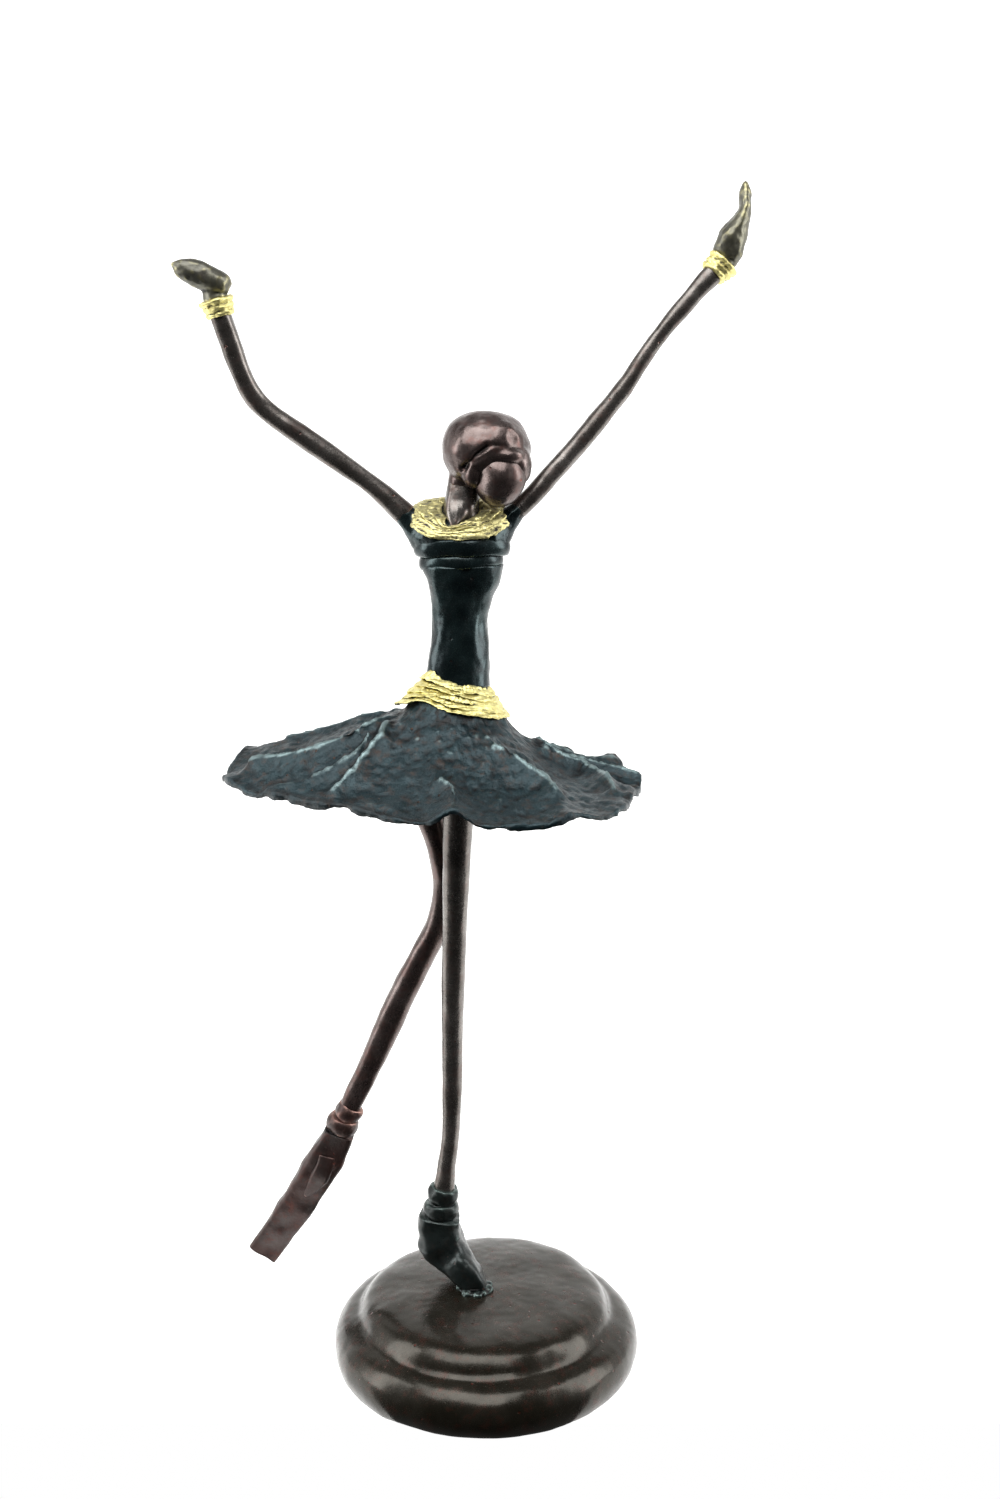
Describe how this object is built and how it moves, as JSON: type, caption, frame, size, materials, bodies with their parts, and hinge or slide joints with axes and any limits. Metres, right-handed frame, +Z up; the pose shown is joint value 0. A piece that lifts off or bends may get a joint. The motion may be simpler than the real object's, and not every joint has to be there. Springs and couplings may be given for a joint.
{
  "type": "bronze dancer statuette",
  "caption": "Slender cast-bronze dancer on one toe with raised arms, a wide folded skirt and bare-brass belt, collar and cuffs, on a round stepped plinth.",
  "frame": {"origin": "centre of the plinth's underside", "axes": "+Z up, +X towards the dancer's left hand, -Y towards the side the figure faces"},
  "size_m": [0.1481, 0.093, 0.3267],
  "materials": {
    "plinth_patina": "waxed dark brown patina, glossy, with small reddish pits",
    "limb_patina": "waxed brown-black patina, satin to glossy, with copper wear",
    "rust_patina": "red-brown patina, glossy where rubbed",
    "cloth_patina": "rough blue-black patina, pitted, with worn pale ridges",
    "bodice_patina": "glossy blue-black patina",
    "bare_brass": "bare filed brass with dark grooves",
    "plain_steel": "plain zinc-plated steel"
  },
  "bodies": {
    "root": {"plinth": "plinth_patina", "toe_pin": "bare_brass", "pin_washer": "plain_steel", "toe_braze": "plinth_patina", "standing_shoe": "limb_patina", "standing_ribbon_lower": "limb_patina", "standing_ribbon_upper": "limb_patina", "standing_leg": "limb_patina", "free_leg": "limb_patina", "free_ribbon_lower": "rust_patina", "free_ribbon_upper": "rust_patina", "free_shoe": "rust_patina", "hip_core": "cloth_patina", "skirt": "cloth_patina", "belt_strip_1": "bare_brass", "belt_strip_2": "bare_brass", "belt_strip_3": "bare_brass", "belt_strip_4": "bare_brass", "belt_strip_5": "bare_brass", "torso": "bodice_patina", "bodice_trim_lower": "bodice_patina", "bodice_trim_upper": "bodice_patina", "shoulder_yoke": "limb_patina", "collar_strip_1": "bare_brass", "collar_strip_2": "bare_brass", "collar_strip_3": "bare_brass", "collar_strip_4": "bare_brass", "neck": "limb_patina", "face": "rust_patina", "hair_cap": "rust_patina", "right_arm": "limb_patina", "right_bracelet": "bare_brass", "right_hand": "limb_patina", "left_arm": "limb_patina", "left_bracelet": "bare_brass", "left_hand": "limb_patina"}
  },
  "joints": []
}
